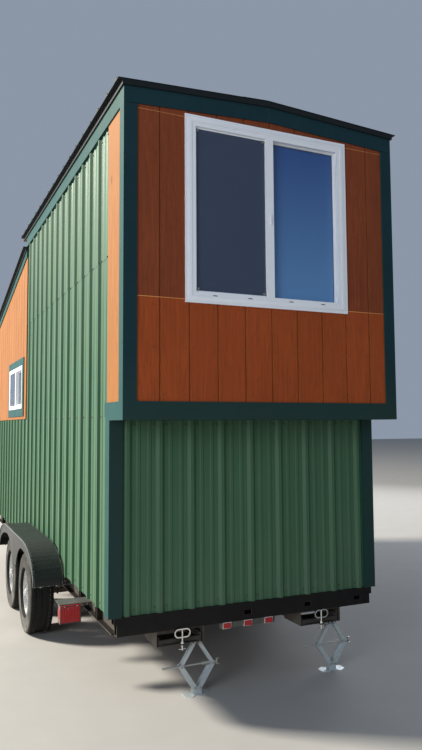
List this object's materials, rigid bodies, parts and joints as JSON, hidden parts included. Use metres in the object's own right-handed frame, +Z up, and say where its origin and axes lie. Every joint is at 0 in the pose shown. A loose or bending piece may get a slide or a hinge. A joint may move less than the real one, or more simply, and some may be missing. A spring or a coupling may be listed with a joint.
{
  "type": "tiny house on wheels",
  "caption": "Tiny house on a tandem-axle trailer, with a raised rear room, ribbed metal and stained wood siding, ribbed roofs and folding scissor jacks.",
  "frame": {"origin": "on the ground, under the middle of the whole length and width", "axes": "+X to the right seen from the rear, +Y from the raised rear room towards the tongue, +Z up"},
  "size_m": [2.58, 7.631, 4.1044],
  "materials": {
    "painted_steel": "satin black chassis paint",
    "galvanised_steel": "zinc plated, satin",
    "bare_screw_steel": "oiled bright steel",
    "chrome": "bright",
    "coupler_steel": "black paint",
    "jack_post": "grey paint",
    "spring_steel": "matt black",
    "fender_paint": "gloss black",
    "bracket_paint": "grey-green paint",
    "red_lens": "gloss",
    "ramp_paint": "worn black paint",
    "floor_wood": "sheathing",
    "wall_wood": "framing and sheathing",
    "green_metal": "satin ribbed sheet",
    "roof_metal": "satin ribbed sheet",
    "stained_wood": "semi-gloss stain",
    "trim_paint": "satin paint",
    "white_vinyl": "satin",
    "window_glass": "clear",
    "screen_mesh": "woven mesh",
    "door_paint": "satin paint",
    "tyre": "matte",
    "rim_steel": "silver paint"
  },
  "bodies": {
    "house_and_trailer": {"side_rails": "painted_steel", "cross_members": "painted_steel", "tongue": "painted_steel", "coupler": "coupler_steel", "tongue_jack": "jack_post", "axles": "spring_steel", "leaf_springs": "spring_steel", "fenders": "fender_paint", "light_brackets": "bracket_paint", "red_lenses": "red_lens", "ramp_pockets": "ramp_paint", "stored_ramps": "ramp_paint", "ramp_pins": "chrome", "floor_deck": "floor_wood", "raised_floor": "floor_wood", "rear_wall_lower": "wall_wood", "rear_wall_upper": "wall_wood", "lower_side_walls": "wall_wood", "upper_side_walls": "wall_wood", "front_side_walls": "wall_wood", "front_wall": "wall_wood", "upper_roof": "wall_wood", "upper_roof_metal": "roof_metal", "lower_roof": "wall_wood", "lower_roof_metal": "roof_metal", "side_metal_siding": "green_metal", "end_metal_siding": "green_metal", "wood_siding": "stained_wood", "corner_and_belt_boards": "trim_paint", "fascia_boards": "trim_paint", "window_casings": "trim_paint", "rear_window_frame": "white_vinyl", "side_window_frames": "white_vinyl", "window_glass": "window_glass", "window_screens": "screen_mesh", "door": "door_paint"},
    "left_rear_wheel": {"left_rear_tyre": "tyre", "left_rear_rim": "rim_steel"},
    "left_front_wheel": {"left_front_tyre": "tyre", "left_front_rim": "rim_steel"},
    "right_rear_wheel": {"right_rear_tyre": "tyre", "right_rear_rim": "rim_steel"},
    "right_front_wheel": {"right_front_tyre": "tyre", "right_front_rim": "rim_steel"},
    "left_jack_upper_left_arm": {"left_jack_upper_left_arm": "galvanised_steel"},
    "left_jack_upper_right_arm": {"left_jack_upper_right_arm": "galvanised_steel"},
    "left_jack_lower_left_arm": {"left_jack_lower_left_arm": "galvanised_steel"},
    "left_jack_lower_right_arm": {"left_jack_lower_right_arm": "galvanised_steel"},
    "left_jack_foot": {"left_jack_foot": "galvanised_steel"},
    "left_jack_screw": {"left_jack_screw": "bare_screw_steel"},
    "left_jack_nut": {"left_jack_nut": "bare_screw_steel"},
    "right_jack_upper_left_arm": {"right_jack_upper_left_arm": "galvanised_steel"},
    "right_jack_upper_right_arm": {"right_jack_upper_right_arm": "galvanised_steel"},
    "right_jack_lower_left_arm": {"right_jack_lower_left_arm": "galvanised_steel"},
    "right_jack_lower_right_arm": {"right_jack_lower_right_arm": "galvanised_steel"},
    "right_jack_foot": {"right_jack_foot": "galvanised_steel"},
    "right_jack_screw": {"right_jack_screw": "bare_screw_steel"},
    "right_jack_nut": {"right_jack_nut": "bare_screw_steel"}
  },
  "joints": [
    {"name": "left_rear_wheel_spin", "type": "hinge", "parent": "house_and_trailer", "child": "left_rear_wheel", "pos_m": [-1.1525, -1.4665, 0.348], "axis": [1, 0, 0], "continuous": true},
    {"name": "left_front_wheel_spin", "type": "hinge", "parent": "house_and_trailer", "child": "left_front_wheel", "pos_m": [-1.1525, -0.5445, 0.348], "axis": [1, 0, 0], "continuous": true},
    {"name": "right_rear_wheel_spin", "type": "hinge", "parent": "house_and_trailer", "child": "right_rear_wheel", "pos_m": [1.1525, -1.4665, 0.348], "axis": [1, 0, 0], "continuous": true},
    {"name": "right_front_wheel_spin", "type": "hinge", "parent": "house_and_trailer", "child": "right_front_wheel", "pos_m": [1.1525, -0.5445, 0.348], "axis": [1, 0, 0], "continuous": true},
    {"name": "left_jack_fold", "type": "hinge", "parent": "house_and_trailer", "child": "left_jack_upper_left_arm", "pos_m": [-0.406, -3.3805, 0.345], "axis": [0, 1, 0], "range_deg": [-6, 27]},
    {"name": "left_jack_upper_right_fold", "type": "hinge", "parent": "house_and_trailer", "child": "left_jack_upper_right_arm", "pos_m": [-0.37, -3.3805, 0.345], "axis": [0, 1, 0], "range_deg": [-27, 6]},
    {"name": "left_jack_lower_left_fold", "type": "hinge", "parent": "left_jack_upper_left_arm", "child": "left_jack_lower_left_arm", "pos_m": [-0.5055, -3.3805, 0.195], "axis": [0, 1, 0], "range_deg": [-54, 12]},
    {"name": "left_jack_lower_right_fold", "type": "hinge", "parent": "left_jack_upper_right_arm", "child": "left_jack_lower_right_arm", "pos_m": [-0.2705, -3.3805, 0.195], "axis": [0, 1, 0], "range_deg": [-12, 54]},
    {"name": "left_jack_foot_level", "type": "hinge", "parent": "left_jack_lower_left_arm", "child": "left_jack_foot", "pos_m": [-0.406, -3.3805, 0.045], "axis": [0, 1, 0], "range_deg": [-6, 27]},
    {"name": "left_jack_nut_level", "type": "hinge", "parent": "left_jack_upper_left_arm", "child": "left_jack_nut", "pos_m": [-0.5055, -3.3805, 0.195], "axis": [0, 1, 0], "range_deg": [-27, 6]},
    {"name": "left_jack_screw_level", "type": "hinge", "parent": "left_jack_upper_right_arm", "child": "left_jack_screw", "pos_m": [-0.2705, -3.3805, 0.195], "axis": [0, 1, 0], "range_deg": [-6, 27]},
    {"name": "right_jack_fold", "type": "hinge", "parent": "house_and_trailer", "child": "right_jack_upper_left_arm", "pos_m": [0.697, -3.3805, 0.345], "axis": [0, 1, 0], "range_deg": [-6, 27]},
    {"name": "right_jack_upper_right_fold", "type": "hinge", "parent": "house_and_trailer", "child": "right_jack_upper_right_arm", "pos_m": [0.733, -3.3805, 0.345], "axis": [0, 1, 0], "range_deg": [-27, 6]},
    {"name": "right_jack_lower_left_fold", "type": "hinge", "parent": "right_jack_upper_left_arm", "child": "right_jack_lower_left_arm", "pos_m": [0.5975, -3.3805, 0.195], "axis": [0, 1, 0], "range_deg": [-54, 12]},
    {"name": "right_jack_lower_right_fold", "type": "hinge", "parent": "right_jack_upper_right_arm", "child": "right_jack_lower_right_arm", "pos_m": [0.8325, -3.3805, 0.195], "axis": [0, 1, 0], "range_deg": [-12, 54]},
    {"name": "right_jack_foot_level", "type": "hinge", "parent": "right_jack_lower_left_arm", "child": "right_jack_foot", "pos_m": [0.697, -3.3805, 0.045], "axis": [0, 1, 0], "range_deg": [-6, 27]},
    {"name": "right_jack_nut_level", "type": "hinge", "parent": "right_jack_upper_left_arm", "child": "right_jack_nut", "pos_m": [0.5975, -3.3805, 0.195], "axis": [0, 1, 0], "range_deg": [-27, 6]},
    {"name": "right_jack_screw_level", "type": "hinge", "parent": "right_jack_upper_right_arm", "child": "right_jack_screw", "pos_m": [0.8325, -3.3805, 0.195], "axis": [0, 1, 0], "range_deg": [-6, 27]}
  ],
  "couplings": [
    {"joint": "left_jack_upper_right_fold", "follows": "left_jack_fold", "ratio": -1},
    {"joint": "left_jack_lower_left_fold", "follows": "left_jack_fold", "ratio": -2},
    {"joint": "left_jack_lower_right_fold", "follows": "left_jack_fold", "ratio": 2},
    {"joint": "left_jack_foot_level", "follows": "left_jack_fold", "ratio": 1},
    {"joint": "left_jack_nut_level", "follows": "left_jack_fold", "ratio": -1},
    {"joint": "left_jack_screw_level", "follows": "left_jack_fold", "ratio": 1},
    {"joint": "right_jack_upper_right_fold", "follows": "right_jack_fold", "ratio": -1},
    {"joint": "right_jack_lower_left_fold", "follows": "right_jack_fold", "ratio": -2},
    {"joint": "right_jack_lower_right_fold", "follows": "right_jack_fold", "ratio": 2},
    {"joint": "right_jack_foot_level", "follows": "right_jack_fold", "ratio": 1},
    {"joint": "right_jack_nut_level", "follows": "right_jack_fold", "ratio": -1},
    {"joint": "right_jack_screw_level", "follows": "right_jack_fold", "ratio": 1}
  ]
}
